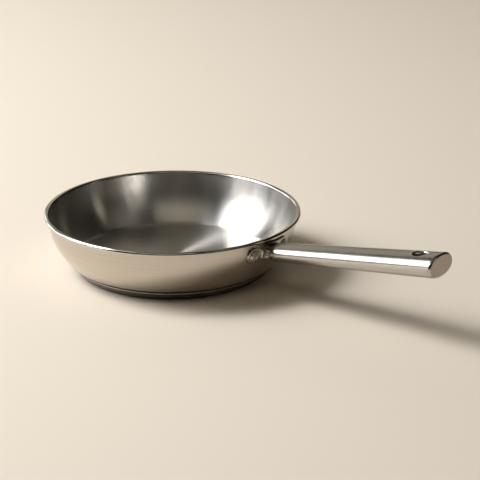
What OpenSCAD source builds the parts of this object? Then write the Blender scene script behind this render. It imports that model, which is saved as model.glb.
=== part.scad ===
// Stainless steel frying pan with a riveted bracket and a hollow oval handle.
// The origin is the centre of the underside. X runs along the handle and Z is up.

/* [Bowl] */
// Clear width inside the rim
mouth_d = 240; // [230:1:260]
// Height of the rim above the table
pan_h = 57.5; // [54:0.5:62]
// Width of the flat part of the bowl's underside
flat_d = 187.6; // [182:0.2:192]
// Thickness of the bowl's sheet
sheet_t = 1; // [0.7:0.1:1.3]
// Outside radius of the turn from the floor into the wall
corner_r = 9.5; // [8:0.5:11]
// Slope of the wall where it leaves the corner, in degrees from level
foot_angle = 46; // [42:1:50]
// Slope of the wall where it meets the rim, in degrees from level
top_angle = 86; // [82:1:88]
// Outside radius of the rolled rim
rim_r = 2.35; // [2:0.05:2.8]
// Length of the rim's edge below its roll
rim_tuck = 0.6; // [0.2:0.1:1.2]

/* [Base] */
// Thickness of the aluminium disc that spreads the heat
core_t = 5.8; // [5:0.1:6.4]
// Thickness of the steel cap under the disc
cap_t = 0.6; // [0.4:0.1:0.8]
// Outside radius of the cap's lower edge
cap_edge_r = 3; // [2.4:0.1:3.4]
// Slope of the cap's side, in degrees from level
cap_side_angle = 57; // [53:1:62]
// Slope of the bowl's corner where the cap's lip ends, in degrees from level
lip_angle = 27; // [24:1:30]

/* [Bracket] */
// Distance of the rivets below the top of the rim
rivet_drop = 15.1; // [13.6:0.1:16.6]
// Distance between the two rivets
rivet_pitch = 42.3; // [41:0.1:46]
// Radius of the round end of each ear
ear_r = 8.2; // [7.4:0.1:8.8]
// Thickness of the bracket's ears
plate_t = 2; // [1.5:0.1:2.5]
// Length of the bracket's hollow neck, from the wall to the handle
neck_l = 9.1; // [8.4:0.1:12]
// Thickness of the neck
neck_t = 1.5; // [1.2:0.1:2]
// How much wider the neck is at the wall, on each side
neck_flare = 1.2; // [0.6:0.1:1.6]
// Length of the neck inside the handle
spigot_l = 14; // [8:1:24]

/* [Rivets] */
// Diameter of the shank
shank_d = 5; // [4:0.1:6]
// Diameter of the outer head
outer_head_d = 12.2; // [11:0.1:13]
// Height of the outer head
outer_head_h = 2.1; // [1.6:0.1:2.6]
// Diameter of the head inside the pan
inner_head_d = 12; // [11:0.1:13]
// Height of the head inside the pan
inner_head_h = 1.5; // [1.2:0.1:2]

/* [Handle] */
// Length of the handle along its axis
handle_l = 183.6; // [160:0.2:200]
// Upward slope of the handle, in degrees
handle_rise = 9.4; // [6:0.1:12]
// Height of the axis at the near end above the rivets
near_lift = 0.2; // [-1:0.1:1]
// Width at the near end
near_w = 26.8; // [25:0.2:30]
// Thickness at the near end
near_h = 16.4; // [15.4:0.2:17.4]
// Width at the far end
far_w = 36.8; // [34:0.2:40]
// Thickness at the far end
far_h = 21.6; // [19.6:0.2:23]
// Thickness of the tube's wall
tube_t = 1.2; // [1:0.1:1.5]
// How far the tube is drawn in at its near end
nose_in = 1.5; // [0.8:0.1:2]
// Length over which the tube is drawn in
nose_l = 3.6; // [2.4:0.2:6]
// Lean of the far end, in degrees past square
end_lean = 6.8; // [3:0.1:9]
// Thickness of the end plate
end_t = 2.4; // [1.6:0.1:3.2]
// Radius of the end plate's edge
end_edge_r = 0.8; // [0.4:0.1:1.2]

/* [Hanging hole] */
// Distance of the hole's centre from the far end
hole_back = 20.6; // [18:0.2:30]
// Diameter of the clear hole
hole_d = 13.6; // [11:0.2:14]
// Radius of the dimple's round edge
dimple_r = 2.7; // [2:0.1:3]
// Wall of the sleeve inside the handle
sleeve_t = 1; // [0.8:0.1:1.3]

/* [Hidden] */
$fn = 96;
// Gap between pieces that are seated on each other
seat_gap = 0.1;
// How far a cut runs past the surface that it opens
overrun = 2;
// Thickness of the slices that the handle is stretched between
slice_t = 0.02;
// Points of the oval outline, and how square the oval is
oval_points = 48;
oval_power = 2.2;
// Steps of a round stretch and of the wall's curve
arc_steps = 8;
wall_steps = 16;
// Reach of the wall curve's two guide points, as shares of the straight line between its ends
wall_guide_shares = [0.42, 0.35];
// Height and width of the outer head's step, and width and depth of its dished centre,
// as shares of the head
step_height_share = 0.45;
step_width_share = 0.76;
dish_width_share = 0.42;
dish_depth_share = 0.35;
// Inset of the drawn in end half way along it, as a share of the whole inset
nose_middle_share = 0.3;

steel = [0.78, 0.76, 0.73];
bright_steel = [0.86, 0.86, 0.85];
cap_steel = [0.62, 0.60, 0.57];
aluminium = [0.70, 0.71, 0.73];

// Bowl
mouth_r = mouth_d / 2;
flat_r = flat_d / 2;
under_z = core_t + cap_t;
corner_c = [flat_r, under_z + corner_r];
rim_c = [mouth_r + rim_r, pan_h - rim_r];
wall_foot = corner_c + corner_r * heading(foot_angle - 90);
wall_top = rim_c + (rim_r - sheet_t) * heading(top_angle + 90);
wall_chord = norm(wall_top - wall_foot);
wall_guides = [
    wall_foot + wall_guide_shares[0] * wall_chord * heading(foot_angle),
    wall_top - wall_guide_shares[1] * wall_chord * heading(top_angle)
];

// Base
lip_gap_r = corner_r + seat_gap;
lip = corner_c + lip_gap_r * heading(lip_angle - 90);
lip_inner_angle = lip_angle - cap_t / sin(cap_side_angle - lip_angle) / corner_r * 180 / PI;
edge_rise = cap_edge_r * (1 - cos(cap_side_angle));
edge_run = cap_edge_r * sin(cap_side_angle);
cap_flat_r = lip[0] - edge_run - (lip[1] - edge_rise) / tan(cap_side_angle);
cap_edge_c = [cap_flat_r, cap_edge_r];

// Rivets and bracket
rivet_z = pan_h - rivet_drop;
wall_r = wall_radius(rivet_z);
wall_lean = atan2(wall_radius(rivet_z + sheet_t) - wall_radius(rivet_z - sheet_t), 2 * sheet_t);
rivet_angle = asin(rivet_pitch / 2 / wall_r);
shank_r = shank_d / 2;
rivet_hole_r = shank_r + seat_gap;
outer_head_r = outer_head_d / 2;
inner_head_r = inner_head_d / 2;
outer_head_z = seat_gap + plate_t;
// A flat head on the hollow side of the wall stands off by the depth of the curve behind it
wall_hollow = max(hollow_along(inner_head_r), hollow_along(-inner_head_r), hollow_across(inner_head_r));
inner_head_z = -sheet_t - wall_hollow - seat_gap;

// Handle
near_x = wall_r + neck_l;
near_z = rivet_z + near_lift;
near_half = [near_w, near_h] / 2;
far_half = [far_w, far_h] / 2;
mouth_half = near_half - [nose_in, nose_in];
spigot_half = mouth_half - [1, 1] * (tube_t + seat_gap);
hollow_half = spigot_half - [neck_t, neck_t];
flare_half = mouth_half + [neck_flare, neck_flare];
hole_x = handle_l - hole_back;
hole_r = hole_d / 2;
hole_half_h = handle_half(hole_x)[1];
throat_z = hole_half_h - dimple_r;
dimple_edge_r = hole_r + dimple_r;
sleeve_r = hole_r + sleeve_t;
seat_depth = dimple_r + tube_t;

// Unit vector at an angle from level
function heading(a) = [cos(a), sin(a)];

// Points along an arc round c, from angle a to angle b
function arc(c, r, a, b, n = arc_steps) = [for (i = [0 : n]) c + r * heading(a + (b - a) * i / n)];

// Place and direction on the wall's outer curve, for t from 0 at the foot to 1 at the rim
function wall_point(t) =
    pow(1 - t, 3) * wall_foot + 3 * t * pow(1 - t, 2) * wall_guides[0]
    + 3 * t * t * (1 - t) * wall_guides[1] + pow(t, 3) * wall_top;
function wall_way(t) =
    pow(1 - t, 2) * (wall_guides[0] - wall_foot) + 2 * t * (1 - t) * (wall_guides[1] - wall_guides[0])
    + t * t * (wall_top - wall_guides[1]);
function outward(v) = [v[1], -v[0]] / norm(v);

// The wall's curve moved outward by a distance
function wall_line(out) = [
    for (i = [0 : wall_steps]) wall_point(i / wall_steps) + out * outward(wall_way(i / wall_steps))
];
function wall_radius(z) = lookup(z, [for (p = wall_line(0)) [p[1], p[0]]]);

// Depth of the wall's curve behind a straight edge at the rivets, up or down the wall and round it
function hollow_along(reach) =
    reach * sin(wall_lean) - (wall_radius(rivet_z + reach) - wall_r) * cos(wall_lean);
function hollow_across(reach) = reach * reach / (2 * (wall_r - reach));
function reversed(list) = [for (i = [len(list) - 1 : -1 : 0]) list[i]];

// Oval outline with the given half sizes
function rounded_power(v) = sign(v) * pow(abs(v), 2 / oval_power);
function oval(half) = [
    for (i = [0 : oval_points - 1])
        let (a = 360 * i / oval_points)
        [half[0] * rounded_power(cos(a)), half[1] * rounded_power(sin(a))]
];

// Half sizes of the handle at a distance along its axis
function handle_half(x) = near_half + (far_half - near_half) * x / handle_l;

// Everything inside the wall's outer face moved outward by a distance
module bowl_block(out) {
    rotate_extrude()
        polygon(concat([[0, under_z]], wall_line(out), [[0, wall_top[1]]]));
}

module on_handle() {
    translate([near_x, 0, near_z])
        rotate([0, -handle_rise, 0])
            children();
}

// A straight oval bar along the handle, from x to end_x
module oval_bar(x, end_x, half) {
    translate([x, 0, 0])
        rotate([90, 0, 90])
            linear_extrude(end_x - x)
                polygon(oval(half));
}

// A thin oval slice across the handle
module slice(x, half, lean = 0) {
    translate([x, 0, 0])
        rotate([0, lean, 0])
            rotate([90, 0, 90])
                linear_extrude(slice_t)
                    polygon(oval(half));
}

// The handle's form between its near end and the end plate, made smaller by inset
module handle_form(inset, past) {
    smaller = [inset, inset];
    end_x = handle_l - end_t;
    hull() {
        slice(-past, mouth_half - smaller);
        slice(nose_l / 2, handle_half(nose_l / 2) - [1, 1] * nose_in * nose_middle_share - smaller);
        slice(nose_l, handle_half(nose_l) - smaller);
        slice(end_x - slice_t + past, handle_half(end_x) - smaller, end_lean);
    }
}

module on_rivet(side) {
    rotate([0, 0, side * rivet_angle])
        translate([wall_r, 0, rivet_z])
            rotate([0, 90 + wall_lean, 0])
                children();
}

module rivet_holes() {
    for (side = [-1, 1])
        on_rivet(side)
            cylinder(r = rivet_hole_r, h = 2 * (plate_t + sheet_t + overrun), center = true);
}

// One rivet, with a stepped and dished head outside and a low round head inside
module rivet(side) {
    step_h = outer_head_h * step_height_share;
    step_r = outer_head_r * step_width_share;
    dish_r = outer_head_r * dish_width_share;
    dish_h = outer_head_h * dish_depth_share;
    top_z = outer_head_z + outer_head_h;
    dome_r = (inner_head_r * inner_head_r + inner_head_h * inner_head_h) / (2 * inner_head_h);
    dome_c = [0, inner_head_z - inner_head_h + dome_r];
    dome_half = asin(inner_head_r / dome_r);
    outline = concat(
        arc(dome_c, dome_r, -90, -90 + dome_half),
        [
            [shank_r, inner_head_z],
            [shank_r, outer_head_z],
            [outer_head_r, outer_head_z],
            [outer_head_r, outer_head_z + step_h / 2]
        ],
        arc([outer_head_r - step_h / 2, outer_head_z + step_h / 2], step_h / 2, 0, 90),
        arc([step_r - step_h, top_z - step_h], step_h, 0, 90),
        [
            [dish_r, top_z],
            [dish_r / 2, top_z - dish_h],
            [0, top_z - dish_h]
        ]
    );
    on_rivet(side)
        rotate_extrude()
            polygon(outline);
}

// Bowl drawn from one sheet, with its rim rolled outward
module pan_body() {
    rim_start = top_angle + 90;
    outline = concat(
        [[0, under_z]],
        arc(corner_c, corner_r, -90, foot_angle - 90),
        wall_line(0),
        arc(rim_c, rim_r - sheet_t, rim_start, 0),
        [
            rim_c + [rim_r - sheet_t, -rim_tuck],
            rim_c + [rim_r, -rim_tuck]
        ],
        arc(rim_c, rim_r, 0, rim_start, 2 * arc_steps),
        reversed(wall_line(-sheet_t)),
        arc(corner_c, corner_r - sheet_t, foot_angle - 90, -90),
        [[0, under_z + sheet_t]]
    );
    color(steel)
        difference() {
            rotate_extrude()
                polygon(outline);
            rivet_holes();
        }
}

// Aluminium disc that fills the cap up to the bowl
module base_core() {
    inner_edge_r = cap_edge_r - cap_t - seat_gap;
    core_top_angle = lip_inner_angle - seat_gap / corner_r * 180 / PI;
    outline = concat(
        [[0, cap_t]],
        arc(cap_edge_c, inner_edge_r, -90, cap_side_angle - 90),
        arc(corner_c, lip_gap_r, core_top_angle - 90, -90),
        [[0, under_z]]
    );
    color(aluminium)
        rotate_extrude()
            polygon(outline);
}

// Steel cap pressed round the disc, with its lip against the bowl
module base_cap() {
    outline = concat(
        [[0, 0]],
        arc(cap_edge_c, cap_edge_r, -90, cap_side_angle - 90),
        [lip],
        [corner_c + lip_gap_r * heading(lip_inner_angle - 90)],
        arc(cap_edge_c, cap_edge_r - cap_t, cap_side_angle - 90, -90),
        [[0, cap_t]]
    );
    color(cap_steel)
        rotate_extrude()
            polygon(outline);
}

// Bracket with an ear on each side and a hollow neck that enters the handle
module handle_bracket() {
    color(steel)
        difference() {
            union() {
                intersection() {
                    bowl_block(seat_gap + plate_t);
                    translate([wall_r / 2, 0, rivet_z])
                        rotate([90, 0, 90])
                            linear_extrude(wall_r) {
                                square([rivet_pitch, 2 * ear_r], center = true);
                                for (side = [-1, 1])
                                    translate([side * rivet_pitch / 2, 0])
                                        circle(ear_r);
                            }
                }
                on_handle() {
                    hull() {
                        slice(-neck_l - overrun, flare_half);
                        slice(-seat_gap - slice_t, mouth_half);
                    }
                    oval_bar(-neck_l, spigot_l, spigot_half);
                }
            }
            bowl_block(seat_gap);
            on_handle()
                oval_bar(-neck_l - 2 * overrun, spigot_l + overrun, hollow_half);
            rivet_holes();
        }
}

module rivet_left() {
    color(bright_steel)
        rivet(1);
}

module rivet_right() {
    color(bright_steel)
        rivet(-1);
}

// Opening of one dimple, from the throat out past the handle's surface
module dimple_cut() {
    outline = concat(
        [[0, throat_z - overrun], [hole_r, throat_z - overrun]],
        arc([dimple_edge_r, throat_z], dimple_r, 180, 90),
        [[dimple_edge_r, hole_half_h + overrun], [0, hole_half_h + overrun]]
    );
    rotate_extrude()
        polygon(outline);
}

// Hollow handle, dimpled on both faces round the hanging hole
module handle_tube() {
    color(bright_steel)
        on_handle()
            difference() {
                handle_form(0, 0);
                difference() {
                    handle_form(tube_t, overrun);
                    translate([hole_x, 0, 0])
                        for (side = [0, 1])
                            mirror([0, 0, side])
                                translate([0, 0, hole_half_h - seat_depth])
                                    cylinder(r = dimple_edge_r, h = seat_depth);
                }
                translate([hole_x, 0, 0]) {
                    cylinder(r = sleeve_r + seat_gap, h = 2 * throat_z, center = true);
                    for (side = [0, 1])
                        mirror([0, 0, side])
                            dimple_cut();
                }
            }
}

// Plate that closes the far end, with a short spigot inside the tube
module handle_end_cap() {
    end_x = handle_l - end_t;
    plug_l = end_t + tube_t;
    plug_half = handle_half(end_x - plug_l) - [1, 1] * (tube_t + seat_gap);
    color(steel)
        on_handle() {
            hull() {
                slice(end_x + slice_t, handle_half(end_x), end_lean);
                slice(handle_l - end_edge_r - slice_t, handle_half(handle_l), end_lean);
                slice(handle_l - slice_t, handle_half(handle_l) - [1, 1] * end_edge_r, end_lean);
            }
            hull() {
                slice(end_x - plug_l, plug_half, end_lean);
                slice(end_x, plug_half, end_lean);
            }
        }
}

// Sleeve that joins the two dimples inside the handle
module hang_sleeve() {
    color(steel)
        on_handle()
            translate([hole_x, 0, 0])
                difference() {
                    cylinder(r = sleeve_r, h = 2 * (throat_z - seat_gap), center = true);
                    cylinder(r = hole_r, h = 2 * (throat_z + overrun), center = true);
                }
}

pan_body();
base_core();
base_cap();
handle_bracket();
rivet_left();
rivet_right();
handle_tube();
handle_end_cap();
hang_sleeve();
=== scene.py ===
from math import atan2, cos, hypot, pi, radians, sin, sqrt

import bmesh
import bpy
from mathutils import Matrix, Vector


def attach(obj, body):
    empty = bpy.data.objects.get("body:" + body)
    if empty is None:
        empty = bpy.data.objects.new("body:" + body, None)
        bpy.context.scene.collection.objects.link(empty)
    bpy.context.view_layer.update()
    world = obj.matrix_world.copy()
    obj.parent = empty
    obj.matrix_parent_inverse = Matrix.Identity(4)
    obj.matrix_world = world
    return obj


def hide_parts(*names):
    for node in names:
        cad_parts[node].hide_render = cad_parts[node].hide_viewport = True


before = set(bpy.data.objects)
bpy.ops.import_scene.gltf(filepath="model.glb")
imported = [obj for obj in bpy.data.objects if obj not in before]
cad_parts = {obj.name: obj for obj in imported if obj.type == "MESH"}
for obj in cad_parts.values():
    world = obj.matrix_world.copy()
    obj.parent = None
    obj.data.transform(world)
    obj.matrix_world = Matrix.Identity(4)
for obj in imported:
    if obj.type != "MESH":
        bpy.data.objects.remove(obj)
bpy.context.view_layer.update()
scene = bpy.context.scene
mm = 0.001
tiny = 1e-7
sharpAngle = 38

# The pan stands on the floor at z 0, its middle over the origin and its handle along X.
# Sizes in the pieces' dictionaries are millimetres and degrees, and the studio's are metres.
# The lines and marks of a finish are counted per metre.


# Outlines

def heading(angle):
    return Vector((cos(radians(angle)), sin(radians(angle))))


def arc(centre, radius, start, end, steps=10):
    turn = end - start
    return [centre + radius * heading(start + turn * i / steps) for i in range(steps + 1)]


def between(a, b, share):
    return a + (b - a) * share


def quarterTurn(steps, first=0):
    return [pi / 2 * i / steps for i in range(first, steps + 1)]


# Meshes

def spun(points, turns):
    # one outline, spun right round Z; each vertex keeps its distance along the outline
    bm = bmesh.new()
    station = bm.verts.layers.float.new("station")
    verts = []
    run = 0
    for i, point in enumerate(points):
        run += (point - points[i - 1]).length * mm if i else 0
        vert = bm.verts.new((point.x * mm, 0, point.y * mm))
        vert[station] = run
        verts.append(vert)
    edges = [bm.edges.new(pair) for pair in zip(verts, verts[1:])]
    bmesh.ops.spin(bm, geom=verts + edges, cent=(0, 0, 0), axis=(0, 0, 1), angle=2 * pi,
                   steps=turns, use_merge=True)
    bmesh.ops.remove_doubles(bm, verts=bm.verts, dist=tiny)
    bmesh.ops.recalc_face_normals(bm, faces=bm.faces)
    return bm


def grooveUv(bm, across, turnOf):
    # U runs across the grooves and V along them, so that gloss spreads the way brushed steel does
    uv = bm.loops.layers.uv.new("groove")
    for face in bm.faces:
        middle = turnOf(face.calc_center_median())
        for loop in face.loops:
            turn = turnOf(loop.vert.co)
            turn = middle if turn is None else turn
            if turn - middle > pi:
                turn -= 2 * pi
            if turn - middle < -pi:
                turn += 2 * pi
            loop[uv].uv = (across(loop.vert), turn / (2 * pi))


def turnRoundZ(co):
    return atan2(co.y, co.x) if hypot(co.x, co.y) > tiny else None


def roundGrooves(bm):
    station = bm.verts.layers.float["station"]
    grooveUv(bm, lambda vert: vert[station], turnRoundZ)


def profilePoint(face):
    # the middle of a face, as a distance from the Z axis and a height
    middle = face.calc_center_median() / mm
    return Vector((hypot(middle.x, middle.y), middle.z))


def firstRing(bm, points):
    # a closed ring of vertices, each numbered so that what is extruded from it can be placed
    order = bm.verts.layers.int.get("order") or bm.verts.layers.int.new("order")
    made = bmesh.ops.create_circle(bm, segments=len(points), radius=mm)
    for i, vert in enumerate(made["verts"]):
        vert.co = points[i] * mm
        vert[order] = i
    return list({edge for vert in made["verts"] for edge in vert.link_edges})


def nextRing(bm, edges, points):
    # extrudes a ring of edges and puts the new vertices at the points
    order = bm.verts.layers.int["order"]
    made = bmesh.ops.extrude_edge_only(bm, edges=edges)["geom"]
    for item in made:
        if isinstance(item, bmesh.types.BMVert):
            item.co = points[item[order]] * mm
    return [item for item in made if isinstance(item, bmesh.types.BMEdge) and item.is_boundary]


def stacked(rings, bm=None):
    bm = bm or bmesh.new()
    edges = firstRing(bm, rings[0])
    for points in rings[1:]:
        edges = nextRing(bm, edges, points)
    return bm, edges


def piece(name, bm, node, materials, place=None):
    # makes the object, smooth apart from its sharp edges, and lets it stand for the CAD node
    if place:
        bmesh.ops.transform(bm, matrix=place, verts=bm.verts)
    mesh = bpy.data.meshes.new(name)
    bm.to_mesh(mesh)
    bm.free()
    for material in materials:
        mesh.materials.append(material)
    mesh.shade_smooth()
    mesh.set_sharp_from_angle(angle=radians(sharpAngle))
    made = bpy.data.objects.new(name, mesh)
    scene.collection.objects.link(made)
    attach(made, "root")
    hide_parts(node)
    print("piece", name, "with", len(mesh.polygons), "faces")
    return made


# Materials: shared effects are groups, and each steel is built by steel()

noiseMiddle = (0.3, 0.7)


def newGroup(name, inputs):
    group = bpy.data.node_groups.new(name, "ShaderNodeTree")
    group.interface.new_socket("Position", in_out="INPUT", socket_type="NodeSocketVector")
    for label, value in inputs.items():
        socket = group.interface.new_socket(label, in_out="INPUT", socket_type="NodeSocketFloat")
        socket.default_value = value
    group.interface.new_socket("Value", in_out="OUTPUT", socket_type="NodeSocketFloat")
    return group, group.nodes.new("NodeGroupInput"), group.nodes.new("NodeGroupOutput")


def mathNode(tree, operation, first, second=None):
    node = tree.nodes.new("ShaderNodeMath")
    node.operation = operation
    for socket, value in zip(node.inputs, (first, second)):
        if isinstance(value, bpy.types.NodeSocket):
            tree.links.new(value, socket)
        elif value is not None:
            socket.default_value = value
    return node.outputs[0]


def vectorNode(tree, x, y, z):
    node = tree.nodes.new("ShaderNodeCombineXYZ")
    for socket, value in zip(node.inputs, (x, y, z)):
        if isinstance(value, bpy.types.NodeSocket):
            tree.links.new(value, socket)
        else:
            socket.default_value = value
    return node.outputs[0]


def noiseNode(tree, vector, detail, w=None):
    node = tree.nodes.new("ShaderNodeTexNoise")
    node.noise_dimensions = "3D" if w is None else "4D"
    node.inputs["Scale"].default_value = 1
    node.inputs["Detail"].default_value = detail
    tree.links.new(vector, node.inputs["Vector"])
    if w is not None:
        tree.links.new(w, node.inputs["W"])
    return node.outputs["Fac"]


def makeRingGrain():
    # fine lines turned round the Z axis: they change fast with radius and height, slowly round it
    group, given, result = newGroup("ringGrain", {"Lines": 2000.0, "Sweep": 4.0})
    parts = group.nodes.new("ShaderNodeSeparateXYZ")
    group.links.new(given.outputs["Position"], parts.inputs[0])
    x, y, z = parts.outputs
    square = mathNode(group, "ADD", mathNode(group, "MULTIPLY", x, x),
                      mathNode(group, "MULTIPLY", y, y))
    radius = mathNode(group, "ADD", mathNode(group, "SQRT", square), tiny)
    sweep = given.outputs["Sweep"]
    lines = given.outputs["Lines"]
    around = vectorNode(group,
                        mathNode(group, "MULTIPLY", mathNode(group, "DIVIDE", x, radius), sweep),
                        mathNode(group, "MULTIPLY", mathNode(group, "DIVIDE", y, radius), sweep),
                        mathNode(group, "MULTIPLY", z, lines))
    group.links.new(noiseNode(group, around, 2, mathNode(group, "MULTIPLY", radius, lines)),
                    result.inputs["Value"])
    return group


def makeBarGrain():
    # fine lines along X
    group, given, result = newGroup("barGrain", {"Lines": 2000.0, "Length": 30.0})
    parts = group.nodes.new("ShaderNodeSeparateXYZ")
    group.links.new(given.outputs["Position"], parts.inputs[0])
    x, y, z = parts.outputs
    lines = given.outputs["Lines"]
    along = vectorNode(group, mathNode(group, "MULTIPLY", x, given.outputs["Length"]),
                       mathNode(group, "MULTIPLY", y, lines), mathNode(group, "MULTIPLY", z, lines))
    group.links.new(noiseNode(group, along, 2), result.inputs["Value"])
    return group


def makeSmudge():
    # broad, soft marks of handling
    group, given, result = newGroup("smudge", {"Marks": 40.0})
    scaled = group.nodes.new("ShaderNodeVectorMath")
    scaled.operation = "SCALE"
    group.links.new(given.outputs["Position"], scaled.inputs[0])
    group.links.new(given.outputs["Marks"], scaled.inputs["Scale"])
    group.links.new(noiseNode(group, scaled.outputs[0], 4), result.inputs["Value"])
    return group


groups = {"ringGrain": makeRingGrain(), "barGrain": makeBarGrain(), "smudge": makeSmudge()}
print("shader groups ready")


def groupNode(tree, name, position, values):
    node = tree.nodes.new("ShaderNodeGroup")
    node.node_tree = groups[name]
    tree.links.new(position, node.inputs["Position"])
    for label, value in values.items():
        node.inputs[label].default_value = value
    return node.outputs["Value"]


def rangeNode(tree, value, low, high):
    # noise seldom leaves its middle part, so that part is stretched over the whole range
    node = tree.nodes.new("ShaderNodeMapRange")
    tree.links.new(value, node.inputs["Value"])
    labels = ("From Min", "From Max", "To Min", "To Max")
    for label, number in zip(labels, (*noiseMiddle, low, high)):
        node.inputs[label].default_value = number
    return node.outputs["Result"]


def steel(name, look, centre=(0, 0, 0), turn=(0, 0, 0)):
    # one steel: a grain group for its lines, smudges in its gloss, and both in its tone
    material = bpy.data.materials.new(name)
    material.use_nodes = True
    tree = material.node_tree
    shader = tree.nodes["Principled BSDF"]
    place = tree.nodes.new("ShaderNodeTexCoord")
    mapping = tree.nodes.new("ShaderNodeMapping")
    mapping.vector_type = "TEXTURE"
    mapping.inputs["Location"].default_value = centre
    mapping.inputs["Rotation"].default_value = turn
    tree.links.new(place.outputs["Object"], mapping.inputs["Vector"])
    position = mapping.outputs["Vector"]

    grain = groupNode(tree, look["grain"], position, look["fine"])
    broad = groupNode(tree, look["grain"], position, look["broad"])
    marks = groupNode(tree, "smudge", position, {"Marks": look["marks"]})
    mixed = mathNode(tree, "ADD", mathNode(tree, "MULTIPLY", grain, 0.5),
                     mathNode(tree, "MULTIPLY", broad, 0.5))

    tone = tree.nodes.new("ShaderNodeMix")
    tone.data_type = "RGBA"
    tone.inputs["A"].default_value = (*look["dark"], 1)
    tone.inputs["B"].default_value = (*look["light"], 1)
    tree.links.new(rangeNode(tree, mixed, 0, 1), tone.inputs["Factor"])
    tree.links.new(tone.outputs["Result"], shader.inputs["Base Color"])

    rough, change = look["rough"], look["roughMarks"]
    gloss = mathNode(tree, "ADD", rangeNode(tree, mixed, -look["roughGrain"], look["roughGrain"]),
                     rangeNode(tree, marks, rough - change, rough + change))
    tree.links.new(gloss, shader.inputs["Roughness"])

    bump = tree.nodes.new("ShaderNodeBump")
    bump.inputs["Strength"].default_value = look["bump"]
    bump.inputs["Distance"].default_value = look["depth"] * mm
    tree.links.new(mixed, bump.inputs["Height"])
    tree.links.new(bump.outputs["Normal"], shader.inputs["Normal"])

    shader.inputs["Metallic"].default_value = 1
    shader.inputs["Anisotropic"].default_value = look["spread"]
    if look["spread"]:
        tangent = tree.nodes.new("ShaderNodeTangent")
        tangent.direction_type = "UV_MAP"
        tangent.uv_map = "groove"
        tree.links.new(tangent.outputs["Tangent"], shader.inputs["Tangent"])
    print("material", name)
    return material


# Bowl

bowl = {
    "mouthR": 120, "height": 57.5, "flatR": 93.8, "underZ": 6.4, "sheet": 1,
    "cornerR": 9.5, "footAngle": 46, "topAngle": 86, "rimR": 2.35, "tuck": 0.6,
    "guideShares": (0.42, 0.35), "wallSteps": 28, "turns": 256,
    "floorShares": (0.85, 0.65, 0.45, 0.25, 0.1, 0.02, 0),
    "bowlInside": {
        "grain": "ringGrain", "marks": 34,
        "fine": {"Lines": 3200, "Sweep": 3}, "broad": {"Lines": 1100, "Sweep": 1.2},
        "dark": (0.58, 0.56, 0.53), "light": (0.66, 0.64, 0.61),
        "rough": 0.262, "roughGrain": 0.005, "roughMarks": 0.008,
        "bump": 0.035, "depth": 0.01, "spread": 1.0,
    },
    "bowlOutside": {
        "grain": "ringGrain", "marks": 30,
        "fine": {"Lines": 3600, "Sweep": 4}, "broad": {"Lines": 1100, "Sweep": 1.5},
        "dark": (0.53, 0.485, 0.427), "light": (0.65, 0.597, 0.53),
        "rough": 0.21, "roughGrain": 0.015, "roughMarks": 0.02,
        "bump": 0.08, "depth": 0.01, "spread": 0.6,
    },
    "bowlRim": {
        "grain": "ringGrain", "marks": 60,
        "fine": {"Lines": 2800, "Sweep": 4}, "broad": {"Lines": 900, "Sweep": 2},
        "dark": (0.56, 0.535, 0.49), "light": (0.66, 0.635, 0.59),
        "rough": 0.11, "roughGrain": 0.015, "roughMarks": 0.01,
        "bump": 0.06, "depth": 0.01, "spread": 0,
    },
    # a thin strip of the wall just above the base cap is painted near black: painted shade of the
    # corner between the wall and the cap
    "paintedShadeTop": 10.6, "paintedShadeIn": 98,
    "bowlPaintedShade": {
        "grain": "ringGrain", "marks": 60,
        "fine": {"Lines": 2600, "Sweep": 5}, "broad": {"Lines": 700, "Sweep": 3},
        "dark": (0.05, 0.045, 0.04), "light": (0.09, 0.08, 0.07),
        "rough": 0.5, "roughGrain": 0.04, "roughMarks": 0.04,
        "bump": 0.3, "depth": 0.015, "spread": 0,
    },
}
cornerC = Vector((bowl["flatR"], bowl["underZ"] + bowl["cornerR"]))
rimC = Vector((bowl["mouthR"] + bowl["rimR"], bowl["height"] - bowl["rimR"]))
wallFoot = cornerC + bowl["cornerR"] * heading(bowl["footAngle"] - 90)
wallTop = rimC + (bowl["rimR"] - bowl["sheet"]) * heading(bowl["topAngle"] + 90)
wallChord = (wallTop - wallFoot).length
wallGuides = (wallFoot + bowl["guideShares"][0] * wallChord * heading(bowl["footAngle"]),
              wallTop - bowl["guideShares"][1] * wallChord * heading(bowl["topAngle"]))


def wallLine(out):
    # the wall's curve from its foot to the rim, moved outward by a distance
    line = []
    low, high = wallGuides
    for i in range(bowl["wallSteps"] + 1):
        t = i / bowl["wallSteps"]
        middle = between(low, high, t)
        start = between(between(wallFoot, low, t), middle, t)
        end = between(middle, between(high, wallTop, t), t)
        way = (end - start).normalized()
        line.append(between(start, end, t) + out * Vector((way.y, -way.x)))
    return line


def wallRadius(z, out=0):
    line = wallLine(out)
    for a, b in zip(line, line[1:]):
        if z <= b.y:
            break
    return a.x + (b.x - a.x) * (z - a.y) / (b.y - a.y)


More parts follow.
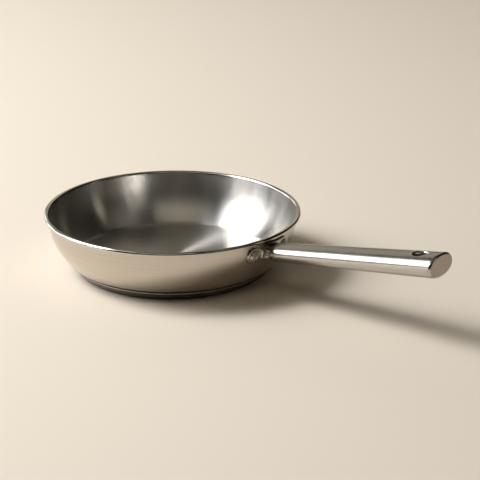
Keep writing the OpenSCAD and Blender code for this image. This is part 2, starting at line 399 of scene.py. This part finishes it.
def makeBowl():
    sheet, rimR = bowl["sheet"], bowl["rimR"]
    rimStart = bowl["topAngle"] + 90
    edgeC = rimC + Vector((rimR - sheet / 2, -bowl["tuck"]))
    outer = [Vector((0, bowl["underZ"]))]
    outer += arc(cornerC, bowl["cornerR"], -90, bowl["footAngle"] - 90)
    outer += wallLine(0)[1:]
    outer += arc(rimC, rimR - sheet, rimStart, 0, 12)[1:]
    outer += arc(edgeC, sheet / 2, 180, 360, 8)
    inner = arc(rimC, rimR, 0, rimStart, 20)
    inner += wallLine(-sheet)[-2::-1]
    inner += arc(cornerC, bowl["cornerR"] - sheet, bowl["footAngle"] - 90, -90)[1:]
    floorZ = bowl["underZ"] + sheet
    inner += [Vector((bowl["flatR"] * share, floorZ)) for share in bowl["floorShares"]]
    bm = spun(outer + inner, bowl["turns"])
    roundGrooves(bm)
    # what faces into the pan takes the inside finish, and the rim has one of its own
    finishes = ("bowlInside", "bowlOutside", "bowlPaintedShade", "bowlRim")
    for face in bm.faces:
        point = profilePoint(face)
        if (point - rimC).length < rimR + sheet / 10:
            finish = "bowlRim"
        elif point.x < rimC.x and (face.normal.z > 0 or point.y >= rimC.y):
            finish = "bowlInside"
        # the strip of wall just above the cap takes the painted shade
        elif point.y < bowl["paintedShadeTop"] and point.x > bowl["paintedShadeIn"]:
            finish = "bowlPaintedShade"
        else:
            finish = "bowlOutside"
        face.material_index = finishes.index(finish)
    piece("bowl", bm, "pan_body",
          [steel(name, bowl[name]) for name in finishes])


makeBowl()


# Base cap

base = {
    "cap": 0.6, "edgeR": 3, "sideAngle": 57, "lipAngle": 27, "lipWide": 0.5, "lipTuck": 0.35,
    "gap": 0.1, "turns": 256, "floorShares": (0, 0.02, 0.3, 0.6, 0.9),
    # the cap's steel is painted dark: painted shade of the shadowed floor that the cap reflects
    "basePaintedShade": {
        "grain": "ringGrain", "marks": 28,
        "fine": {"Lines": 3000, "Sweep": 5}, "broad": {"Lines": 420, "Sweep": 2},
        "dark": (0.16, 0.15, 0.135), "light": (0.24, 0.225, 0.20),
        "rough": 0.28, "roughGrain": 0.04, "roughMarks": 0.04,
        "bump": 0.4, "depth": 0.015, "spread": 0.6,
    },
    # the lip's steel is painted bright: a painted highlight along the cap's edge
    "lipPaintedHighlight": {
        "grain": "ringGrain", "marks": 60,
        "fine": {"Lines": 2400, "Sweep": 5}, "broad": {"Lines": 600, "Sweep": 3},
        "dark": (0.82, 0.79, 0.73), "light": (0.92, 0.89, 0.83),
        "rough": 0.3, "roughGrain": 0.03, "roughMarks": 0.03,
        "bump": 0.2, "depth": 0.01, "spread": 0,
    },
}


def makeBaseCap():
    cap, edgeR, side = base["cap"], base["edgeR"], base["sideAngle"]
    lip = cornerC + (bowl["cornerR"] + base["gap"]) * heading(base["lipAngle"] - 90)
    sinSide, cosSide = sin(radians(side)), cos(radians(side))
    flatR = lip.x - edgeR * sinSide - (lip.y - edgeR * (1 - cosSide)) / (sinSide / cosSide)
    edgeC = Vector((flatR, edgeR))
    outward = heading(side - 90)
    # the lip's edge is a half round, tucked against the bowl
    lipC = lip - outward * cap / 2 - heading(side) * cap * base["lipTuck"]
    outline = [Vector((flatR * share, 0)) for share in base["floorShares"]]
    outline += arc(edgeC, edgeR, -90, side - 90)
    outline += [lipC + outward * cap / 2 - heading(side) * base["lipWide"]]
    outline += arc(lipC, cap / 2, side - 90, side + 90, 8)
    outline += arc(edgeC, edgeR - cap, side - 90, -90)
    outline += [Vector((0, cap))]
    bm = spun(outline, base["turns"])
    roundGrooves(bm)
    # the lip's edge is painted bright, a painted highlight, against the painted shade of the rest
    # of the cap
    for face in bm.faces:
        onLipHighlight = (profilePoint(face) - lipC).length < base["lipWide"]
        face.material_index = 1 if onLipHighlight else 0
    piece("baseCap", bm, "base_cap",
          [steel(name, base[name]) for name in ("basePaintedShade", "lipPaintedHighlight")])


makeBaseCap()


# Rivets

rivet = {
    "drop": 15.1, "pitch": 42.3, "plate": 2, "gap": 0.1, "shankR": 2.5,
    "headR": 6.1, "headH": 2.1, "innerR": 6, "innerH": 1.5, "hollow": 0.274, "turns": 64,
    # the step and the dish as shares of the head, then their rounding as shares of themselves
    "stepHeight": 0.45, "stepWidth": 0.76, "dishDepth": 0.5, "dishWidth": 0.5,
    "cornerShare": 0.25, "shoulderShare": 0.6, "dishRound": 1.1, "dishEnd": 35,
    "dishFloor": ((0.55, 0.85), (0.25, 1), (0, 1)),
    "rivetSteel": {
        "grain": "smudge", "marks": 160,
        "fine": {"Marks": 900}, "broad": {"Marks": 260},
        "dark": (0.50, 0.475, 0.43), "light": (0.64, 0.61, 0.56),
        "rough": 0.14, "roughGrain": 0.02, "roughMarks": 0.03,
        "bump": 0.25, "depth": 0.02, "spread": 0,
    },
}
rivetZ = bowl["height"] - rivet["drop"]
wallR = wallRadius(rivetZ)
wallLean = atan2(wallRadius(rivetZ + bowl["sheet"]) - wallRadius(rivetZ - bowl["sheet"]),
                 2 * bowl["sheet"])


def makeRivet(name, node, side, material):
    headR, headH = rivet["headR"], rivet["headH"]
    seat = rivet["gap"] + rivet["plate"]
    top = seat + headH
    stepH, stepR = headH * rivet["stepHeight"], headR * rivet["stepWidth"]
    dishH, dishR = headH * rivet["dishDepth"], headR * rivet["dishWidth"]
    corner, shoulder, dishRound = rivet["cornerShare"], rivet["shoulderShare"], rivet["dishRound"]
    innerZ = -bowl["sheet"] - rivet["hollow"] - rivet["gap"]
    innerR, innerH = rivet["innerR"], rivet["innerH"]
    domeR = (innerR ** 2 + innerH ** 2) / (2 * innerH)
    domeC = Vector((0, innerZ - innerH + domeR))
    domeHalf = atan2(innerR, domeR - innerH) * 180 / pi
    outline = arc(domeC, domeR, -90, -90 + domeHalf, 12)
    outline += [Vector((rivet["shankR"], innerZ)), Vector((rivet["shankR"], seat)),
                Vector((headR, seat))]
    outline += arc(Vector((headR - stepH / 2, seat + stepH / 2)), stepH / 2, 0, 90, 8)
    # a hollow corner leads up the step, then a round shoulder into the dish
    outline += arc(Vector((stepR + stepH * corner, seat + stepH * (1 + corner))),
                   stepH * corner, 270, 180, 4)
    outline += arc(Vector((stepR - stepH * shoulder, top - stepH * shoulder)),
                   stepH * shoulder, 0, 90, 8)
    outline += arc(Vector((dishR, top - dishH * dishRound)),
                   dishH * dishRound, 90, rivet["dishEnd"], 5)
    outline += [Vector((dishR * wide, top - dishH * deep)) for wide, deep in rivet["dishFloor"]]
    bm = spun(outline, rivet["turns"])
    roundGrooves(bm)
    turn = atan2(side * rivet["pitch"] / 2, sqrt(wallR ** 2 - rivet["pitch"] ** 2 / 4))
    place = (Matrix.Rotation(turn, 4, "Z") @ Matrix.Translation(Vector((wallR, 0, rivetZ)) * mm)
             @ Matrix.Rotation(pi / 2 + wallLean, 4, "Y"))
    piece(name, bm, node, [material], place)


rivetSteel = steel("rivetSteel", rivet["rivetSteel"])
makeRivet("rivetLeft", "rivet_left", 1, rivetSteel)
makeRivet("rivetRight", "rivet_right", -1, rivetSteel)


# Handle

handle = {
    "length": 183.6, "rise": 9.4, "neck": 9.1, "lift": 0.2, "power": 2.2, "wall": 1.2,
    "near": (13.4, 8.2), "far": (18.4, 10.8), "noseIn": 1.5, "noseL": 9, "lean": 6.8,
    "sides": 144, "bodySteps": 48, "leanShares": (0.4, 0.8), "grooveRound": 0.1,
    "holeBack": 20.6, "holeR": 6.8, "patch": 12,
    "dimpleR": 2.7, "dimpleFlat": 0.6, "dimpleShares": (0.35, 0.7, 1), "throatTuck": 0.05,
    "sleeve": 1, "sleeveHalf": 7, "sleeveSoft": 0.25, "sleeveTurns": 96,
    "endT": 2.4, "edgeR": 2.3, "plug": 3.6, "plugGap": 0.1,
    "flatShare": 0.99, "faceInsets": (2, 5, 8),
    # the joint between the tube and the end plate: its gap, its soft edges and their depth
    "jointGap": 0.02, "jointSoft": 0.15, "jointIn": 0.12, "seatIn": 0.3,
    "handleSteel": {
        "grain": "barGrain", "marks": 40,
        "fine": {"Lines": 3000, "Length": 60}, "broad": {"Lines": 600, "Length": 18},
        "dark": (0.48, 0.456, 0.422), "light": (0.60, 0.571, 0.532),
        "rough": 0.2, "roughGrain": 0.015, "roughMarks": 0.02,
        "bump": 0.2, "depth": 0.01, "spread": 0.5,
    },
    "endSteel": {
        "grain": "barGrain", "marks": 90,
        "fine": {"Lines": 2600, "Length": 500}, "broad": {"Lines": 700, "Length": 120},
        "dark": (0.48, 0.42, 0.365), "light": (0.58, 0.51, 0.445),
        "rough": 0.46, "roughGrain": 0.03, "roughMarks": 0.03,
        "bump": 0.2, "depth": 0.012, "spread": 0,
    },
    # the sleeve is painted near black: painted shade inside the hanging hole
    "sleevePaintedShade": {
        "grain": "smudge", "marks": 160,
        "fine": {"Marks": 900}, "broad": {"Marks": 240},
        "dark": (0.10, 0.095, 0.08), "light": (0.16, 0.15, 0.13),
        "rough": 0.6, "roughGrain": 0.03, "roughMarks": 0.04,
        "bump": 0.25, "depth": 0.02, "spread": 0,
    },
}
handleNear = Vector((wallR + handle["neck"], 0, rivetZ + handle["lift"]))
onHandle = Matrix.Translation(handleNear * mm) @ Matrix.Rotation(-radians(handle["rise"]), 4, "Y")
endX = handle["length"] - handle["endT"]
holeX = handle["length"] - handle["holeBack"]


def signedPower(value, power):
    return abs(value) ** power * (1 if value >= 0 else -1)


def unitOval(sides, power):
    turns = [2 * pi * i / sides for i in range(sides)]
    return [(signedPower(cos(turn), 2 / power), signedPower(sin(turn), 2 / power))
            for turn in turns]


oval = unitOval(handle["sides"], handle["power"])


def handleHalf(x):
    share = x / handle["length"]
    return [a + (b - a) * share for a, b in zip(handle["near"], handle["far"])]


def handleRing(x, inset=0, lean=0, half=None):
    # an oval ring across the handle, leaning by degrees about Y
    wide, tall = [size - inset for size in half or handleHalf(x)]
    slope = radians(lean)
    return [Vector((x + tall * b * sin(slope), wide * a, tall * b * cos(slope))) for a, b in oval]


def handleTop(x, y):
    wide, tall = handleHalf(x)
    return tall * (1 - min(abs(y) / wide, 1) ** handle["power"]) ** (1 / handle["power"])


def addDimple(bm, boundary, side):
    # rings run from the opening's edge over the skin, then down the round edge into the throat
    order = bm.verts.layers.int["order"]
    verts = list({vert for edge in boundary for vert in edge.verts})
    starts = []
    for i, vert in enumerate(verts):
        vert[order] = i
        flat = Vector((vert.co.x / mm - holeX, vert.co.y / mm))
        starts.append((flat, atan2(flat.y, flat.x)))
    holeR, dimpleR = handle["holeR"], handle["dimpleR"]
    edgeR = holeR + dimpleR

    def ring(radius, drop, share=1.0, level=None):
        points = []
        for start, turn in starts:
            flat = between(start, radius * Vector((cos(turn), sin(turn))), share)
            z = level if level else handleTop(holeX + flat.x, flat.y) - drop
            points.append(Vector((holeX + flat.x, flat.y, side * z)))
        return points

    rings = [ring(edgeR + handle["dimpleFlat"], 0, share) for share in handle["dimpleShares"]]
    rings += [ring(edgeR, 0)]
    for turn in quarterTurn(9, 1):
        rings.append(ring(edgeR - dimpleR * sin(turn), dimpleR * (1 - cos(turn))))
    rings.append(ring(holeR, 0, level=handle["sleeveHalf"] + handle["throatTuck"]))
    edges = boundary
    for points in rings:
        edges = nextRing(bm, edges, points)


def handleGrooves(bm):
    # the grooves run along the handle, so the two directions change places
    def turnRoundHandle(co):
        wide, tall = handleHalf(co.x / mm)
        return atan2(co.z / tall, co.y / wide)

    grooveUv(bm, lambda vert: vert.co.x, turnRoundHandle)
    uv = bm.loops.layers.uv["groove"]
    for face in bm.faces:
        for loop in face.loops:
            along, turn = loop[uv].uv
            loop[uv].uv = (turn * handle["grooveRound"], along)


def makeHandle(material):
    noseL, noseIn, steps = handle["noseL"], handle["noseIn"], handle["bodySteps"]
    patch, lean = handle["patch"], handle["lean"]
    rings = [handleRing(noseL * (1 - cos(turn)), noseIn * (1 - sin(turn)))
             for turn in quarterTurn(14)]
    rings += [handleRing(noseL + (holeX - patch - noseL) * i / steps) for i in range(1, steps + 1)]
    rings += [handleRing(holeX - patch + i) for i in range(1, 2 * patch + 1)]
    last = holeX + patch
    for share in handle["leanShares"]:
        rings.append(handleRing(last + (endX - last) * share, lean=lean * share))
    rings.append(handleRing(endX - handle["jointSoft"], lean=lean))
    rings.append(handleRing(endX - handle["jointGap"], inset=handle["jointIn"], lean=lean))
    bm, _ = stacked(rings)
    # open a square patch over each mouth of the hole, then ring it down into the dimple
    reach = patch * mm + tiny
    for side in (1, -1):
        inPatch = [face for face in bm.faces if all(
            abs(vert.co.x - holeX * mm) < reach and abs(vert.co.y) < reach and vert.co.z * side > 0
            for vert in face.verts)]
        bmesh.ops.delete(bm, geom=inPatch, context="FACES")
        boundary = [edge for edge in bm.edges if edge.is_boundary and all(
            abs(vert.co.x - holeX * mm) < reach and vert.co.z * side > 0 for vert in edge.verts)]
        addDimple(bm, boundary, side)
    bmesh.ops.recalc_face_normals(bm, faces=bm.faces)
    handleGrooves(bm)
    made = piece("handleTube", bm, "handle_tube", [material], onHandle)
    wall = made.modifiers.new("wall", "SOLIDIFY")
    wall.thickness = handle["wall"] * mm
    wall.offset = -1
    wall.use_even_offset = True


def makeEndCap(polished):
    lean, faceX = handle["lean"], handle["length"]
    edgeR, soft = handle["edgeR"], handle["jointSoft"]
    plugX = endX - handle["plug"]
    plugHalf = [half - handle["wall"] - handle["plugGap"] for half in handleHalf(plugX)]
    seatX = endX + handle["jointGap"]
    rings = [handleRing(x, lean=lean, half=plugHalf) for x in (plugX, seatX)]
    rings += [handleRing(seatX, inset=inset, lean=lean) for inset in (handle["seatIn"], soft)]
    rings += [handleRing(endX + soft, lean=lean)]
    for turn in quarterTurn(6):
        rings.append(handleRing(faceX - edgeR * (1 - sin(turn)), edgeR * (1 - cos(turn)), lean))
    rings += [handleRing(faceX, inset=inset, lean=lean) for inset in handle["faceInsets"]]
    bm, lastLoop = stacked(rings)
    firstLoop = [edge for edge in bm.edges if edge.is_boundary and edge not in lastLoop]
    for loop in (firstLoop, lastLoop):
        bmesh.ops.edgeloop_fill(bm, edges=loop)
    bmesh.ops.recalc_face_normals(bm, faces=bm.faces)
    handleGrooves(bm)
    # the face is brushed straight across, and the rounded edge is polished like the handle
    way = Vector((cos(radians(lean)), 0, -sin(radians(lean))))
    for face in bm.faces:
        face.material_index = 0 if face.normal.dot(way) > handle["flatShare"] else 1
    piece("endCap", bm, "handle_end_cap",
          [steel("endSteel", handle["endSteel"], turn=(0, 0, pi / 2)), polished], onHandle)


def makeSleeve(material):
    soft = handle["sleeveSoft"]
    low, high = soft - handle["sleeveHalf"], handle["sleeveHalf"] - soft
    near, far = handle["holeR"] + soft, handle["holeR"] + handle["sleeve"] - soft
    corners = ((near, low, 180), (far, low, 270), (far, high, 0), (near, high, 90))
    outline = []
    for x, y, start in corners:
        outline += arc(Vector((x, y)), soft, start, start + 90, 4)
    outline += [outline[0]]
    bm = spun(outline, handle["sleeveTurns"])
    roundGrooves(bm)
    piece("hangSleeve", bm, "hang_sleeve", [material],
          onHandle @ Matrix.Translation(Vector((holeX, 0, 0)) * mm))


handleSteel = steel("handleSteel", handle["handleSteel"], centre=handleNear * mm,
                    turn=(0, -radians(handle["rise"]), 0))
makeHandle(handleSteel)
makeEndCap(handleSteel)
makeSleeve(steel("sleevePaintedShade", handle["sleevePaintedShade"]))


# Bracket

bracket = {
    "earR": 8.2, "edge": 0.6, "slitR": 0.02, "earSides": 40, "flatSides": 60,
    "backShares": (0.3, 0.6, 0.9, 1), "frontShares": (0.75, 0.5, 0.25),
    "flare": 0.3, "fillet": 1.5, "footSink": 0.1, "boxPower": 4.2,
    "neckT": 1.5, "spigot": 14, "hollowStop": 3, "neckShares": (0.15, 0.35, 0.55, 0.75, 0.9, 1),
    "bracketSteel": {
        "grain": "smudge", "marks": 110,
        "fine": {"Marks": 700}, "broad": {"Marks": 160},
        "dark": (0.40, 0.375, 0.33), "light": (0.52, 0.49, 0.44),
        "rough": 0.17, "roughGrain": 0.02, "roughMarks": 0.04,
        "bump": 0.25, "depth": 0.02, "spread": 0,
    },
}


def onWall(y, z, out):
    # the point at y and z on the wall moved outward by a distance
    return Vector((sqrt(wallRadius(z, out) ** 2 - y ** 2), y, z))


def earOutline(radius):
    # a long outline with a round ear at each end, the same number of points whatever its radius
    half, earSides, flatSides = rivet["pitch"] / 2, bracket["earSides"], bracket["flatSides"]
    points = []
    for side in (1, -1):
        for i in range(earSides):
            turn = -pi / 2 + pi * i / earSides
            points.append((side * (half + radius * cos(turn)), rivetZ + side * radius * sin(turn)))
        for i in range(flatSides):
            points.append((side * (half - 2 * half * i / flatSides), rivetZ + side * radius))
    return points


def earRing(radius, out):
    return [onWall(y, z, out) for y, z in earOutline(radius)]


def makeBracket():
    gap, plate, edge, earR = rivet["gap"], rivet["plate"], bracket["edge"], bracket["earR"]
    bm = bmesh.new()
    # ears: the back against the wall, a rounded edge, and rings that close on the middle line
    outs = [(bracket["slitR"], gap)] + [(earR * share, gap) for share in bracket["backShares"]]
    for turn in quarterTurn(5):
        outs.append((earR - edge * (1 - cos(turn)), gap + plate - edge * (1 - sin(turn))))
    outs += [(earR * share, gap + plate) for share in bracket["frontShares"]]
    outs += [(bracket["slitR"], gap + plate)]
    stacked([earRing(radius, out) for radius, out in outs], bm)

    # neck: its foot spreads over the ears, then it runs to the handle and on inside it
    neck, spigot = handle["neck"], bracket["spigot"]
    flare, fillet = bracket["flare"], bracket["fillet"]
    mouthHalf = [half - handle["noseIn"] for half in handle["near"]]
    spigotHalf = [half - handle["wall"] - gap for half in mouthHalf]
    hollowHalf = [half - bracket["neckT"] for half in spigotHalf]
    turnOver = onHandle.to_3x3()

    # the neck is boxy at its foot, with flat sides, and oval where it meets the handle
    box = unitOval(handle["sides"], bracket["boxPower"])

    def neckPoint(x, half, a, b):
        return handleNear + turnOver @ Vector((x, half[0] * a, half[1] * b))

    def neckRing(x, half, boxy=0.0):
        return [neckPoint(x, half, between(a, c, boxy), between(b, d, boxy))
                for (a, b), (c, d) in zip(oval, box)]

    def footRing(out, spread):
        # a ring on the wall's curve, spread sideways by the fillet
        half = (mouthHalf[0] + flare + spread, mouthHalf[1] + flare)
        foot = [neckPoint(-neck + out, half, a, b) for a, b in box]
        return [onWall(point.y, point.z, out) for point in foot]

    top = gap + plate - bracket["footSink"]
    rings = [footRing(gap, fillet)]
    for turn in quarterTurn(7):
        rings.append(footRing(top + fillet * (1 - cos(turn)), fillet * (1 - sin(turn))))
    for share in bracket["neckShares"]:
        x = between(-neck + gap + plate + fillet, -gap, share)
        wider = flare * (1 - share) ** 2
        rings.append(neckRing(x, [half + wider for half in mouthHalf], sqrt(1 - share)))
    rings += [neckRing(x, spigotHalf) for x in (-gap, spigot)]
    rings += [neckRing(x, hollowHalf) for x in (spigot, bracket["hollowStop"] - neck)]
    stacked(rings, bm)
    bmesh.ops.remove_doubles(bm, verts=bm.verts, dist=tiny)
    bmesh.ops.recalc_face_normals(bm, faces=bm.faces)
    piece("handleBracket", bm, "handle_bracket",
          [steel("bracketSteel", bracket["bracketSteel"])])


makeBracket()


# Aluminium core, hidden between the bowl and the cap: its CAD solid stays, with its own finish

coreFinish = {
    "grain": "ringGrain", "marks": 60,
    "fine": {"Lines": 1500, "Sweep": 6}, "broad": {"Lines": 300, "Sweep": 3},
    "dark": (0.70, 0.71, 0.72), "light": (0.80, 0.81, 0.82),
    "rough": 0.45, "roughGrain": 0.04, "roughMarks": 0.05,
    "bump": 0.3, "depth": 0.02, "spread": 0,
}
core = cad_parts["base_core"]
core.data.materials.clear()
core.data.materials.append(steel("coreAluminium", coreFinish))


# Floor, lights and camera

studio = {
    "floorHalf": 30.0, "floorDrop": 0.0002, "floorColour": (0.80, 0.715, 0.605), "floorRough": 0.75,
    "world": (0.004, 0.0035, 0.002),
    "cameraAt": (1.0969, -1.2505, 0.6281), "cameraWay": (-0.5916, 0.7306, -0.3409),
    "lens": 135.56, "sensor": 36, "farClip": 100,
    # each light: its shape, degrees to the left of the camera's side of the pan, degrees above
    # the floor, metres away, metres wide and tall, and how bright its face is
    "cameraSide": -51,
    "lights": {
        "keyMiddle": ("DISK", 98, 52, 2.9, 0.9, 0.9, 12.5),
        "keySoft": ("DISK", 95, 45, 3.0, 1.6, 1.6, 5.6),
        "keyWide": ("DISK", 97, 35, 3.0, 2.1, 2.1, 2.5),
        "keyNear": ("DISK", 78, 40, 3.0, 1.6, 1.6, 1.8),
        "keyBack": ("DISK", 117, 49, 3.0, 1.5, 1.5, 1.5),
        "keyHigh": ("DISK", 92, 60, 3.0, 1.6, 1.6, 1.0),
        "keyFar": ("DISK", 106, 30, 3.0, 1.6, 1.6, 1.2),
        "lowNear": ("RECTANGLE", 92, 8, 3.0, 1.0, 0.8, 1.7),
        "lowFront": ("RECTANGLE", 66, 6, 3.0, 0.9, 0.6, 1.6),
        "lowMiddle": ("RECTANGLE", 115, 10, 3.0, 0.8, 0.95, 3.1),
        "lowFar": ("RECTANGLE", 131, 10, 3.0, 0.65, 0.95, 4.1),
        "lowBack": ("RECTANGLE", 150, 12, 3.0, 0.7, 0.9, 1.6),
    },
    # weak lights in the warm colour of the floor, in place of what a room sends back
    "bounceColour": (1.0, 0.92, 0.75),
    "bounces": {
        "backPanel": ("RECTANGLE", 176, 24, 3.2, 3.3, 1.9, 0.38),
        "backRight": ("RECTANGLE", -160, 35, 3.2, 1.6, 1.6, 0.22),
        "topBack": ("RECTANGLE", 180, 72, 3.0, 2.0, 0.5, 0.4),
        "topFront": ("ELLIPSE", 10, 58, 3.0, 2.7, 0.9, 0.95),
        "frontRight": ("RECTANGLE", -42, 38, 3.0, 1.1, 0.8, 0.35),
        "rightHigh": ("RECTANGLE", -74, 50, 3.2, 1.4, 1.1, 0.22),
        "rightStrip": ("RECTANGLE", -84, 22, 3.0, 0.4, 1.0, 0.7),
    },
}


def makeFloor():
    bm = bmesh.new()
    bmesh.ops.create_grid(bm, x_segments=4, y_segments=4, size=studio["floorHalf"])
    bmesh.ops.translate(bm, vec=(0, 0, -studio["floorDrop"]), verts=bm.verts)
    mesh = bpy.data.meshes.new("floor")
    bm.to_mesh(mesh)
    bm.free()
    material = bpy.data.materials.new("floorPale")
    material.use_nodes = True
    shader = material.node_tree.nodes["Principled BSDF"]
    shader.inputs["Base Color"].default_value = (*studio["floorColour"], 1)
    shader.inputs["Roughness"].default_value = studio["floorRough"]
    mesh.materials.append(material)
    floor = bpy.data.objects.new("floor", mesh)
    scene.collection.objects.link(floor)


def makeLight(name, shape, turn, height, away, wide, tall, glow, colour=(1, 1, 1)):
    # the light is aimed at the pan, and its power follows from its face and its glow
    azimuth = radians(studio["cameraSide"] - turn)
    level = cos(radians(height))
    way = Vector((cos(azimuth) * level, sin(azimuth) * level, sin(radians(height))))
    light = bpy.data.lights.new(name, "AREA")
    light.shape = shape
    light.size = wide
    light.size_y = tall
    light.color = colour
    light.energy = glow * pi * (wide * tall * (1 if shape == "RECTANGLE" else pi / 4))
    made = bpy.data.objects.new(name, light)
    made.location = way * away
    made.rotation_euler = (-way).to_track_quat("-Z", "Y").to_euler()
    made.visible_camera = False
    scene.collection.objects.link(made)


def makeCamera():
    camera = bpy.data.cameras.new("camera")
    camera.lens = studio["lens"]
    camera.sensor_width = studio["sensor"]
    camera.clip_end = studio["farClip"]
    made = bpy.data.objects.new("camera", camera)
    made.location = studio["cameraAt"]
    made.rotation_euler = Vector(studio["cameraWay"]).to_track_quat("-Z", "Y").to_euler()
    scene.collection.objects.link(made)
    scene.camera = made


def makeWorld():
    world = bpy.data.worlds.new("studio")
    world.use_nodes = True
    world.node_tree.nodes["Background"].inputs["Color"].default_value = (*studio["world"], 1)
    scene.world = world


makeFloor()
for lightName, values in studio["lights"].items():
    makeLight(lightName, *values)
for lightName, values in studio["bounces"].items():
    makeLight(lightName, *values, studio["bounceColour"])
makeCamera()
makeWorld()
scene.view_settings.view_transform = "Standard"
print("studio ready")
